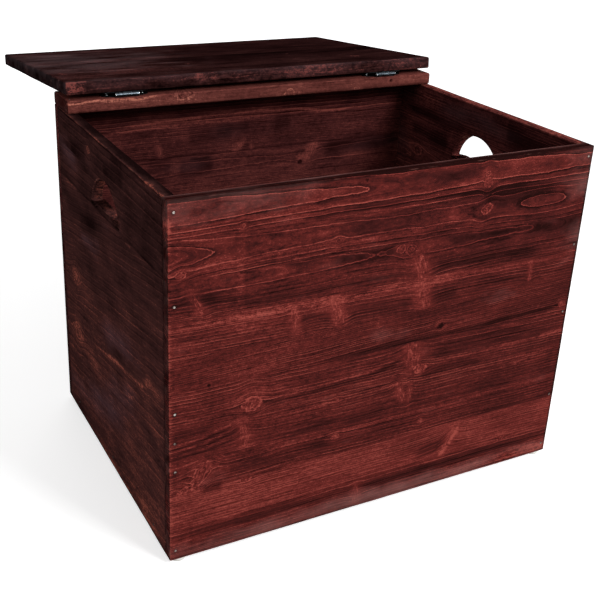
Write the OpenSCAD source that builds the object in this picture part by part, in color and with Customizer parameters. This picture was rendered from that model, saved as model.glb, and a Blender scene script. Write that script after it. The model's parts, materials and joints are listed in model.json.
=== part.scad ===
// Stained wooden kindling box with a lid that folds back over a fixed hinge rail.
// The box stands on four plastic glides. Front is -Y, the hinges are at the back.

/* [Walls] */
// Outside width of the box, left to right
box_w = 632; // [440:2:900]
// Outside depth of the box, front to back
box_d = 466; // [360:2:640]
// Height of the wall boards
wall_h = 500; // [320:5:640]
// Thickness of the wall boards
wall_t = 16; // [14:1:22]
// Radius of the sanded edges of the wall boards
wall_ease = 1.5; // [0.5:0.5:3]

/* [Bottom board] */
// Thickness of the bottom board
floor_t = 16; // [9:1:22]
// Height of the bottom board above the lower edge of the walls
floor_lift = 8; // [2:1:30]

/* [Lid and hinge rail] */
// Thickness of the lid and of the hinge rail
lid_t = 19; // [17:1:25]
// Depth of the hinge rail, front to back
rail_d = 72; // [56:1:110]
// How far the closed lid stands out past the front wall
lid_overhang = 2; // [0:1:20]
// Gap between the closed lid and the hinge rail
lid_gap = 1.5; // [1:0.5:2]
// Air between the closed lid and the walls
lid_clear = 0.3; // [0.2:0.1:0.5]
// Radius of the rounded edges of the lid and of the hinge rail
lid_ease = 3; // [1:0.5:5]

/* [Hand holes] */
// Diameter of the arch of a hand hole
hand_d = 120; // [90:1:150]
// Height of the flat lower edge of a hand hole above the centre of its arch
hand_flat = 13; // [0:1:20]
// Radius of the two lower corners of a hand hole
hand_corner = 4; // [2:1:8]
// Distance from the top of the wall down to the top of the arch
hand_drop = 50; // [35:1:90]

/* [Hinges] */
// Distance from the end of the box to the middle of a hinge
hinge_inset = 91; // [50:1:140]
// Length of the barrel
barrel_l = 35; // [30:1:44]
// Outside diameter of the barrel
barrel_d = 6.8; // [6.4:0.2:8]
// Length of the middle knuckle
middle_l = 14; // [10:1:18]
// Air between two knuckles
knuckle_gap = 0.3; // [0.2:0.1:0.6]
// Air between the barrel and the wood under it
barrel_lift = 0.6; // [0.4:0.1:0.8]
// Distance of the pin's axis behind the front edge of the hinge rail
axis_setback = 1.5; // [0.5:0.5:3]
// Diameter of the hinge pin
pin_d = 3.2; // [2.8:0.2:3.6]
// Radial running clearance of the pin in its knuckles
pin_fit = 0.05; // [0.02:0.01:0.09]
// Diameter of the riveted heads of the pin
pin_head_d = 5; // [4.4:0.2:6]
// Thickness of the riveted heads of the pin
pin_head_t = 0.8; // [0.5:0.1:1.2]
// Thickness of the leaves
leaf_t = 1.2; // [1:0.1:1.4]
// Distance of the screws from the middle of the hinge, along it
screw_x = 27.5; // [24:0.5:34]
// Distance of the screws from the pin's axis
screw_y = 15; // [13:0.5:20]
// Radius of the lobe of a leaf round each screw
lobe_r = 8.5; // [6:0.5:10]
// Depth of the hollow in a leaf's free edge
scallop = 4; // [1:0.5:6]

/* [Hinge screws] */
// Diameter of the shank
screw_d = 3; // [2.6:0.2:3.4]
// Length of the shank under the head
screw_l = 14; // [10:0.5:15]
// Diameter of the blunt end of the point
screw_tip_d = 0.4; // [0.2:0.1:1]
// Diameter of the round head
screw_head_d = 5.6; // [5:0.2:6.4]
// Height of the round head
screw_head_h = 1.85; // [1.6:0.05:1.9]
// Width of the slots of the cross recess
recess_w = 0.7; // [0.5:0.1:0.9]
// Length of the slots of the cross recess
recess_l = 3; // [2:0.2:3.4]
// Depth of the cross recess
recess_deep = 0.9; // [0.5:0.1:1.1]
// Air round a screw's shank in its leaf
leaf_fit = 0.15; // [0.05:0.05:0.3]
// Air between the heads of facing screws when the lid is folded back
rest_gap = 0.3; // [0.2:0.1:0.5]

/* [Nails] */
// Diameter of the shank
nail_d = 1.6; // [1.2:0.1:2.2]
// Length of the nails of walls, rail and bottom board
nail_l = 40; // [30:1:50]
// Diameter of the head
nail_head_d = 3.2; // [2.6:0.2:4.4]
// Thickness of the head
nail_head_t = 1; // [0.6:0.1:1.5]
// Distance of the first and last nail of a corner row from the edge of its board
nail_margin = 15; // [12:1:40]
// Distance of the first and last nail of the bottom board from the ends of the side walls
floor_nail_margin = 45; // [30:1:90]
// Distance of the outer nails along the back of the hinge rail from its ends
rail_nail_margin = 45; // [30:1:120]
// Nails in each row of the back wall
back_nail_count = 5; // [3:1:8]
// Nails in each row of the bottom board
floor_nail_count = 3; // [2:1:6]
// Nails along the back of the hinge rail
rail_nail_count = 4; // [2:1:7]
// Air round a nail or a screw in the wood
wood_fit = 0.02; // [0.01:0.01:0.05]

/* [Glides] */
// Diameter of a glide
glide_d = 20; // [16:1:22]
// Height of a glide
glide_h = 5; // [3:0.5:8]
// Radius of the rounded rim of a glide
glide_rim = 1; // [0.5:0.25:1.5]
// Distance of a glide's middle from the side of the box
glide_x = 15; // [13:1:40]
// Distance of a glide's middle from the front or back of the box
glide_y = 11; // [10:0.5:12]
// Diameter of a glide nail's head
glide_head_d = 7; // [5:0.5:9]
// Thickness of a glide nail's head
glide_head_t = 1; // [0.6:0.1:1.4]
// Depth of a glide nail's head above the floor
glide_sink = 1; // [0.5:0.25:1.5]
// Diameter of a glide nail's shank
glide_nail_d = 2; // [1.6:0.2:2.6]
// Length of a glide nail's shank above its head
glide_nail_l = 18; // [14:1:24]

/* [Hidden] */
$fn = 64;

// How far a cutter runs out past the face that it opens
over = 1;
// How far a leaf's straight edges cut into its round lobes, so that they meet at a clear angle
bite = 0.05;
// How far up the front corners each nail sits, from the lowest (0) to the highest (1).
// They were driven by eye, so the two corners differ.
front_left_rows = [0, 0.26, 0.35, 0.44, 0.75, 1];
front_right_rows = [0, 0.19, 0.49, 0.72, 1];

// Heights
wall_z = glide_h;
top_z = wall_z + wall_h;
floor_z = wall_z + floor_lift;
rail_top_z = top_z + lid_t;
axis_z = rail_top_z + barrel_d / 2 + barrel_lift;

// The axis above the wood of the rail, and above the wood of the closed lid
rail_axis_h = axis_z - rail_top_z;
lid_axis_h = rail_axis_h - lid_clear;

// The lid folds back until the heads of facing screws meet, rest_gap apart.
// Each head's top lies head_top above its wood, screw_y from the axis.
head_top = leaf_t + screw_head_h;
lid_side = lid_axis_h - head_top;
rail_side = rest_gap - (rail_axis_h - head_top);
tilt = acos(rail_side / norm([lid_side, screw_y])) - atan2(screw_y, lid_side);
open_angle = 180 + tilt;

// Places front to back. The origin is under the middle of the whole open box, lid included.
lid_d = box_d - rail_d - lid_gap + lid_overhang;
axis_to_lid = axis_setback + lid_gap;
axis_to_back = rail_d - axis_setback;
lid_reach = (axis_to_lid + lid_d - lid_ease) * cos(tilt)
    + (lid_axis_h + lid_t - lid_ease) * sin(tilt) + lid_ease;
front_y = -(box_d - axis_to_back + lid_reach) / 2;
back_y = front_y + box_d;
axis_y = back_y - axis_to_back;

side_l = box_d - 2 * wall_t;
hinge_places = [-1, 1] * (box_w / 2 - hinge_inset);
screw_places = [for (x = hinge_places) for (s = [-1, 1]) x + s * screw_x];
nail_rise = wall_h - 2 * nail_margin;
stained = "#5a1f1a";
steel = "#c9cdd0";

// Evenly spread distances along a board of length l, with a margin at both ends
function spread(l, margin, count) =
    [for (i = [0 : count - 1]) margin + (l - 2 * margin) * i / (count - 1)];

// Point where the line from p touches the circle round c, on its right-hand side
function touch(p, c, r) =
    let (d = norm(c - p),
        a = atan2(c[1] - p[1], c[0] - p[0]) - asin(r / d))
    p + sqrt(d * d - r * r) * [cos(a), sin(a)];

// Rectangle with round corners
module round_rect(w, h, r) {
    translate([r, 0])
        square([w - 2 * r, h]);
    translate([0, r])
        square([w, h - 2 * r]);
    for (x = [r, w - r], y = [r, h - r])
        translate([x, y])
            circle(r);
}

// Board with all its long edges along X rounded
module bar_x(size, r) {
    rotate([90, 0, 90])
        linear_extrude(size[0])
            round_rect(size[1], size[2], r);
}

// Board with all its edges rounded
module eased_board(size, r) {
    intersection() {
        bar_x(size, r);
        linear_extrude(size[2])
            round_rect(size[0], size[1], r);
        translate([0, size[1], 0])
            rotate([90, 0, 0])
                linear_extrude(size[1])
                    round_rect(size[0], size[2], r);
    }
}

// Nail along +Z with the top of its head at the origin; grow widens it into its hole
module nail(grow = 0) {
    translate([0, 0, -nail_head_t])
        cylinder(d = nail_head_d + 2 * grow, h = nail_head_t + (grow > 0 ? over : 0));
    translate([0, 0, -nail_l])
        cylinder(d = nail_d + 2 * grow, h = nail_l - nail_head_t / 2);
}

// Round-head screw along +Z that stands on its seat at the origin
module screw() {
    head_r = (pow(screw_head_d / 2, 2) + pow(screw_head_h, 2)) / (2 * screw_head_h);
    difference() {
        intersection() {
            translate([0, 0, screw_head_h - head_r])
                sphere(head_r);
            cylinder(d = screw_head_d, h = screw_head_h);
        }
        for (a = [0, 90])
            rotate(a)
                translate([-recess_l / 2, -recess_w / 2, screw_head_h - recess_deep])
                    cube([recess_l, recess_w, screw_head_h]);
    }
    translate([0, 0, -screw_l + screw_d])
        cylinder(d = screw_d, h = screw_l - screw_d + (screw_head_h - recess_deep) / 2);
    translate([0, 0, -screw_l])
        cylinder(d1 = screw_tip_d, d2 = screw_d, h = screw_d);
}

// Hole in the wood for a screw that stands on a leaf
module screw_hole() {
    translate([0, 0, leaf_t - screw_l])
        cylinder(d = screw_d + 2 * wood_fit, h = screw_l);
}

// The two rows of nails that hold the front wall to the side walls
module at_front_nails() {
    for (z = front_left_rows * nail_rise)
        translate([-box_w / 2 + wall_t / 2, front_y, wall_z + nail_margin + z])
            rotate([90, 0, 0])
                children();
    for (z = front_right_rows * nail_rise)
        translate([box_w / 2 - wall_t / 2, front_y, wall_z + nail_margin + z])
            rotate([90, 0, 0])
                children();
}

// The two rows of nails that hold the back wall to the side walls
module at_back_nails() {
    for (x = [-1, 1] * (box_w - wall_t) / 2, z = spread(wall_h, nail_margin, back_nail_count))
        translate([x, back_y, wall_z + z])
            rotate([-90, 0, 0])
                children();
}

// The nails through the side walls into the edges of the bottom board
module at_floor_nails() {
    for (s = [-1, 1], y = spread(side_l, floor_nail_margin, floor_nail_count))
        translate([s * box_w / 2, front_y + wall_t + y, floor_z + floor_t / 2])
            rotate([0, s * 90, 0])
                children();
}

// The nails down through the hinge rail into the back wall and the side walls
module at_rail_nails() {
    for (x = spread(box_w, rail_nail_margin, rail_nail_count))
        translate([x - box_w / 2, back_y - wall_t / 2, rail_top_z])
            children();
    for (x = [-1, 1] * (box_w - wall_t) / 2)
        translate([x, back_y - rail_d + nail_margin, rail_top_z])
            children();
}

// The middles of the four glides, on the floor
module at_glides() {
    for (x = [-1, 1] * (box_w / 2 - glide_x), y = [front_y + glide_y, back_y - glide_y])
        translate([x, y, 0])
            children();
}

// Turns what is built for the closed lid to where it rests when folded back
module fold_back() {
    translate([0, axis_y, axis_z])
        rotate([-open_angle, 0, 0])
            translate([0, -axis_y, -axis_z])
                children();
}

// A glide nail, or its hole where grow is above 0
module glide_nail(grow = 0) {
    below = grow > 0 ? glide_sink + over : 0;
    translate([0, 0, glide_sink - below])
        cylinder(d = glide_head_d + 2 * grow, h = glide_head_t + below);
    translate([0, 0, glide_sink + glide_head_t / 2])
        cylinder(d = glide_nail_d + 2 * grow, h = glide_head_t / 2 + glide_nail_l);
}

// Front wall, full width, over the ends of the side walls
module front_panel() {
    color(stained)
        difference() {
            translate([-box_w / 2, front_y, wall_z])
                intersection() {
                    bar_x([box_w, wall_t, wall_h], wall_ease);
                    linear_extrude(wall_h)
                        round_rect(box_w, wall_t, wall_ease);
                }
            at_front_nails() nail(wood_fit);
            at_glides() glide_nail(wood_fit);
        }
}

// Back wall, full width, over the ends of the side walls
module back_panel() {
    color(stained)
        difference() {
            translate([-box_w / 2, back_y - wall_t, wall_z])
                intersection() {
                    bar_x([box_w, wall_t, wall_h], wall_ease);
                    linear_extrude(wall_h)
                        round_rect(box_w, wall_t, wall_ease);
                }
            at_back_nails() nail(wood_fit);
            at_rail_nails() nail(wood_fit);
            at_glides() glide_nail(wood_fit);
        }
}

// Outline of a hand hole round the centre of its arch: a round arch with a flat lower edge
// and two rounded corners, whose circles touch the arch and the flat edge from inside
module hand_outline() {
    arch_r = hand_d / 2;
    inner_r = arch_r - hand_corner;
    corner = [sqrt(pow(inner_r, 2) - pow(hand_flat + hand_corner, 2)), hand_flat + hand_corner];
    outside = corner * (arch_r + over) / inner_r;
    difference() {
        circle(arch_r, $fn = 96);
        translate([-hand_d, hand_flat - 2 * hand_d])
            square(2 * hand_d);
        for (s = [0, 1])
            mirror([s, 0])
                polygon([corner, [corner[0], hand_flat - over],
                    [arch_r + over, hand_flat - over], outside]);
    }
    for (s = [-1, 1])
        translate([s * corner[0], corner[1]])
            circle(hand_corner);
}

// Side wall between front and back, with its arched hand hole; side is -1 or 1
module side_wall(side) {
    low_x = side < 0 ? -box_w / 2 : box_w / 2 - wall_t;
    color(stained)
        difference() {
            translate([low_x + wall_t, front_y + wall_t, wall_z])
                rotate(90)
                    bar_x([side_l, wall_t, wall_h], wall_ease);
            translate([low_x - over, front_y + box_d / 2, top_z - hand_drop - hand_d / 2])
                rotate([90, 0, 90])
                    linear_extrude(wall_t + 2 * over)
                        hand_outline();
            at_front_nails() nail(wood_fit);
            at_back_nails() nail(wood_fit);
            at_floor_nails() nail(wood_fit);
            at_rail_nails() nail(wood_fit);
        }
}

module left_side() {
    side_wall(-1);
}

module right_side() {
    side_wall(1);
}

// Bottom board between the four walls
module bottom_panel() {
    color(stained)
        difference() {
            translate([-box_w / 2 + wall_t, front_y + wall_t, floor_z])
                cube([box_w - 2 * wall_t, side_l, floor_t]);
            at_floor_nails() nail(wood_fit);
        }
}

// Fixed rail across the back, flat on the walls, which carries the hinges
module hinge_rail() {
    color(stained)
        difference() {
            translate([-box_w / 2, back_y - rail_d, top_z])
                eased_board([box_w, rail_d, lid_t], lid_ease);
            at_rail_nails() nail(wood_fit);
            for (x = screw_places)
                translate([x, axis_y + screw_y, rail_top_z])
                    screw_hole();
        }
}

// Lid board, folded back over the rail
module lid_panel() {
    color(stained)
        fold_back()
            difference() {
                translate([-box_w / 2, axis_y - axis_to_lid - lid_d, top_z + lid_clear])
                    eased_board([box_w, lid_d, lid_t], lid_ease);
                for (x = screw_places)
                    translate([x, axis_y - screw_y, axis_z - lid_axis_h])
                        screw_hole();
            }
}

// Outline of a leaf that spreads like a butterfly's wing, with the axis along X
module wing_outline() {
    neck = [barrel_l / 2, barrel_d / 2];
    lobe = [screw_x, screw_y];
    edge = touch(neck, lobe, lobe_r - bite);
    free_y = screw_y + lobe_r - bite;
    // The hollow is scallop deep in the middle, and ends a little inside the tops of the lobes
    hollow_x = screw_x - lobe_r / 4;
    hollow_r = (pow(hollow_x, 2) + pow(scallop, 2)) / (2 * scallop);
    difference() {
        union() {
            polygon([[-neck[0], 0], [neck[0], 0], neck, edge, lobe, [screw_x, free_y],
                [-screw_x, free_y], [-screw_x, screw_y], [-edge[0], edge[1]], [-neck[0], neck[1]]]);
            for (s = [-1, 1])
                translate([s * screw_x, screw_y])
                    circle(lobe_r);
        }
        translate([0, free_y - scallop + hollow_r])
            circle(hollow_r, $fn = 128);
    }
}

// Knuckle spans along the barrel: the two outer ones, and the middle one
outer_l = (barrel_l - middle_l) / 2 - knuckle_gap;
outer_spans = [[-barrel_l / 2, outer_l], [barrel_l / 2 - outer_l, outer_l]];
middle_spans = [[-middle_l / 2, middle_l]];

// Leaf with its knuckles; the wood lies axis_h under the axis. The leaf spreads to +Y.
// Its plate is notched round the knuckles of the other leaf.
module leaf(axis_h, own_spans, other_spans) {
    notch = barrel_d / 2 + knuckle_gap;
    color(steel)
        difference() {
            union() {
                difference() {
                    translate([0, 0, -axis_h])
                        linear_extrude(leaf_t)
                            wing_outline();
                    for (span = other_spans)
                        translate([span[0] - knuckle_gap, -over, -axis_h - over])
                            cube([span[1] + 2 * knuckle_gap, over + notch, leaf_t + 2 * over]);
                }
                for (span = own_spans)
                    translate([span[0], 0, 0])
                        rotate([0, 90, 0])
                            cylinder(d = barrel_d, h = span[1]);
            }
            translate([-barrel_l / 2 - over, 0, 0])
                rotate([0, 90, 0])
                    cylinder(d = pin_d + 2 * pin_fit, h = barrel_l + 2 * over);
            for (s = [-1, 1])
                translate([s * screw_x, screw_y, -axis_h - over])
                    cylinder(d = screw_d + 2 * leaf_fit, h = leaf_t + 2 * over);
        }
}

// Leaf on the rail, which holds the two outer knuckles
module rail_leaf(x) {
    translate([x, axis_y, axis_z])
        leaf(rail_axis_h, outer_spans, middle_spans);
}

// Leaf on the lid, which holds the middle knuckle
module lid_leaf(x) {
    fold_back()
        translate([x, axis_y, axis_z])
            mirror([0, 1, 0])
                leaf(lid_axis_h, middle_spans, outer_spans);
}

// Hinge pin with a riveted head at each end, just clear of the barrel
module hinge_pin(x) {
    head_gap = pin_fit;
    color(steel)
        translate([x, axis_y, axis_z])
            rotate([0, 90, 0]) {
                translate([0, 0, -barrel_l / 2 - head_gap])
                    cylinder(d = pin_d, h = barrel_l + 2 * head_gap);
                for (s = [-1, 1])
                    translate([0, 0, s * (barrel_l / 2 + head_gap + pin_head_t / 2) - pin_head_t / 2])
                        cylinder(d = pin_head_d, h = pin_head_t);
            }
}

module left_rail_leaf() {
    rail_leaf(hinge_places[0]);
}

module left_lid_leaf() {
    lid_leaf(hinge_places[0]);
}

module left_hinge_pin() {
    hinge_pin(hinge_places[0]);
}

module right_rail_leaf() {
    rail_leaf(hinge_places[1]);
}

module right_lid_leaf() {
    lid_leaf(hinge_places[1]);
}

module right_hinge_pin() {
    hinge_pin(hinge_places[1]);
}

// Screws that hold the leaves to the rail
module rail_screws() {
    color(steel)
        for (x = screw_places)
            translate([x, axis_y + screw_y, rail_top_z + leaf_t])
                screw();
}

// Screws that hold the leaves to the lid
module lid_screws() {
    color(steel)
        fold_back()
            for (x = screw_places)
                translate([x, axis_y - screw_y, axis_z - lid_axis_h + leaf_t])
                    screw();
}

module front_nails() {
    color(steel)
        at_front_nails() nail();
}

module back_nails() {
    color(steel)
        at_back_nails() nail();
}

module floor_nails() {
    color(steel)
        at_floor_nails() nail();
}

module rail_nails() {
    color(steel)
        at_rail_nails() nail();
}

// White plastic glides, hollow underneath round their nails
module glides() {
    color("white")
        at_glides()
            difference() {
                rotate_extrude() {
                    translate([0, glide_rim])
                        square([glide_d / 2, glide_h - glide_rim]);
                    square([glide_d / 2 - glide_rim, glide_h]);
                    translate([glide_d / 2 - glide_rim, glide_rim])
                        circle(glide_rim);
                }
                glide_nail(wood_fit);
            }
}

module glide_nails() {
    color(steel)
        at_glides() glide_nail();
}

front_panel();
back_panel();
left_side();
right_side();
bottom_panel();
hinge_rail();
lid_panel();
left_rail_leaf();
left_lid_leaf();
left_hinge_pin();
right_rail_leaf();
right_lid_leaf();
right_hinge_pin();
rail_screws();
lid_screws();
front_nails();
back_nails();
floor_nails();
rail_nails();
glides();
glide_nails();
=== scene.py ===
import json

import bpy
import numpy as np
from mathutils import Matrix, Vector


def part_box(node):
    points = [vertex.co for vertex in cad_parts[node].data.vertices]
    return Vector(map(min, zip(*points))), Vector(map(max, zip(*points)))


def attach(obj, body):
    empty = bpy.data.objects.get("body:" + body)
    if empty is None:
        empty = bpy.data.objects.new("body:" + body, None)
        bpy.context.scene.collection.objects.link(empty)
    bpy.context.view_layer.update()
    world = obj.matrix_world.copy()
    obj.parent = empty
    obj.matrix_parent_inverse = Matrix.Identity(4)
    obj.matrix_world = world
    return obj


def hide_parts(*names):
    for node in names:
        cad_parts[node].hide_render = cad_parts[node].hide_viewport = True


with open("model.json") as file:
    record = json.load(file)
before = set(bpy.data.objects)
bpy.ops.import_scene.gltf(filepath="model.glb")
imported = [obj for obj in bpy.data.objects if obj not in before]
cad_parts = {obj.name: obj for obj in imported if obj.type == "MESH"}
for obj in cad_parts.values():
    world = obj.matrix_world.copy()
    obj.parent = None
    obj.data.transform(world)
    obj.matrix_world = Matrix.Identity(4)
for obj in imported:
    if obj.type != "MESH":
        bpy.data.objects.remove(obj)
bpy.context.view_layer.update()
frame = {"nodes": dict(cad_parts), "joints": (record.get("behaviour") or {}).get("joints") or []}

# Front wall. Ten softwood staves, edge-glued into one board that covers the ends of the side walls and is
# nailed to them. The wood is stained dark red-brown and thinly varnished, with its arrises worn round.

FACE_INSET = 0.08          # mm that the wood lies back from the solid, so that the nail heads stand clear
PITCH_ALONG, PITCH_ACROSS, PITCH_THICK = 3.5, 2.25, 3.0     # mm between the lines of a board's mesh
WALL_EASE = 1.5            # mm, radius of a wall's edges
END_FACING = 0.7           # a face that looks along the board by more than this is end grain
STAVE_RINGS = 60           # how much higher each stave's ring count starts than that of the one before
STAVE_TONE = 0.07          # how much lighter or darker a stave is than its neighbours
BRANCH = 1.6               # a knot that is higher than this many times its length is a branch in the face
BRANCH_DEEP, KNOT_DEEP = 14, 50        # mm into the board, over which branches and knots narrow to nothing
NO_KNOT, NO_NAIL = 9.0, 40.0           # kept where none is near: in knot sizes, in mm
FILM_SHEEN_FADE, STROKE_FADE = 0.4, 0.12     # share of its length over which a mark fades at each end
HEAD_RIM, HEAD_GAP = 0.3, 5            # mm: how deep a nail head's rim counts, and the least gap between heads
REACH_KEPT = 12            # mm from an arris beyond which the distance isn't kept
MARK_DEEP = 4              # mm that a mark reaches into the board, unless it says otherwise
SAWN_END, SAWN_TONE, SAWN_STROKE = 0.6, 0.03, 0.5      # a sawn hole's share of end grain, tone and streaks


def sway(at, seed, reach):
    """Smooth random line of about unit height: six sines, whose waves shorten from reach by 1.7 each time
    while their heights fall by 1.45, each with a random start."""
    draw = np.random.default_rng(seed)
    total = np.zeros_like(at)
    for octave in range(6):
        wave = reach / 1.7 ** octave
        total = total + 0.42 / 1.45 ** octave * np.sin(2 * np.pi * (at / wave + draw.random()))
    return total


def from_knot(s, t, w, knot):
    """Places as seen from a knot's middle, along and across, in mm. A knot leans as its slant says, and lies a
    quarter further along and a tenth further across for each mm into the board."""
    ks, kt, _, _, slant, _, _ = knot
    dt = t - kt - 0.10 * w
    return s - ks - 0.25 * w - slant * dt, dt


def growth_rings(s, t, w, stave, seed):
    """Ring count at places along, across and into one stave, in mm.
    The count is the distance from the pith divided by the ring width, which narrows outwards. The pith lies
    at a depth that changes along the stave, so flat-sawn rings close into long tips. Round a knot the fibres
    part: a place beside it takes the count of a place nearer the knot's middle by up to half its width, and
    beside a branch that lies in the face the whole count is pushed one way."""
    _, pith, depths, lean, ring, _, knots = stave
    parted, pushed = np.zeros_like(s), np.zeros_like(s)
    for knot in knots:
        _, _, along, across, _, push, _ = knot
        ds, dt = from_knot(s, t, w, knot)
        half = across * np.exp(-(ds / (1.5 * along + 2)) ** 2) + 1e-3
        beside = np.maximum(np.abs(dt) - half, 0)
        part = half * np.tanh(dt / (1.15 * half)) * np.exp(-beside / (1.6 * half + 1.5))
        parted += part * (0.25 if across > BRANCH * along else 1)
        pushed += push * np.exp(-np.abs(ds) / (1.6 * along + 3)
                                - np.maximum(np.abs(dt) - across, 0) / 4 - w / 12)
    places, depth = np.array(depths, float).T
    deep = sum(np.interp(s + step, places, depth) for step in (-28, -14, 0, 14, 28)) / 5
    centre = pith + np.tan(np.radians(lean)) * s + 1.5 * sway(s, seed, 420)
    far = np.hypot(t - parted - pushed - centre, deep + w + 0.5 * sway(s, seed + 7, 160))
    return far * (1 + far / 160) / ring


def lines_along(low, high, ease, pitch, stops=()):
    """Places of a mesh's lines along one axis: four in each rounded edge, and between them evenly spaced
    ones that also meet each stop."""
    edge = np.array([0, 0.45, 0.9, 1.5]) * ease if ease else np.array([0.0])
    inner = [low + edge[-1], *[x for x in stops if low + 4 < x < high - 4], high - edge[-1]]
    spans = [np.linspace(a, b, max(int(np.ceil((b - a) / pitch)), 1), endpoint=False)
             for a, b in zip(inner[:-1], inner[1:])]
    return np.concatenate([low + edge[:-1], *spans, high - edge[::-1]])


def worn_box(lines, ease, square_axis, seed):
    """Closed skin of a board, from its lines along x, y and z, as places, quads, their normals at each corner
    and how far each place is from an arris.
    A place on the sharp box is drawn towards the box shrunk by the radius, until it is one radius from
    it. The radius swells and shrinks along the edges as on handled wood. square_axis keeps square ends."""
    shape = [len(x) for x in lines]
    skin = np.zeros(shape, bool)
    for axis in range(3):
        for end in (0, -1):
            skin[tuple(end if a == axis else slice(None) for a in range(3))] = True
    number = np.full(shape, -1)
    number[skin] = np.arange(skin.sum())
    sharp = np.stack(np.meshgrid(*lines, indexing="ij"), -1)[skin]
    low, high = sharp.min(0), sharp.max(0)
    radius = ease * (1 + 0.28 * sway(sharp.sum(1), seed, 210))[:, None]
    kept = np.array([0.0 if axis == square_axis else 1.0 for axis in range(3)])
    core = np.clip(sharp, low + radius * kept, high - radius * kept)
    away = sharp - core
    length = np.linalg.norm(away, axis=1, keepdims=True)
    places = core + away * np.minimum(1, radius / np.maximum(length, 1e-9))
    reach = np.sort(np.minimum(sharp - low, high - sharp), axis=1)[:, 1]
    quads, normals = [], []
    for axis in range(3):
        for end in (0, -1):
            sheet = number.take(end, axis=axis)
            ring = np.stack([sheet[:-1, :-1], sheet[1:, :-1], sheet[1:, 1:], sheet[:-1, 1:]], -1).reshape(-1, 4)
            if (end == 0) == (axis != 1):
                ring = ring[:, ::-1]
            out = (away / np.maximum(length, 1e-9))[ring]
            if axis == square_axis:
                out = np.zeros_like(out)
                out[..., axis] = 1 if end else -1
            quads.append(ring)
            normals.append(out)
    return places, np.concatenate(quads), np.concatenate(normals), reach


def in_scene(name, data):
    """A new object, linked to the scene."""
    thing = bpy.data.objects.new(name, data)
    bpy.context.scene.collection.objects.link(thing)
    return thing


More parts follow.
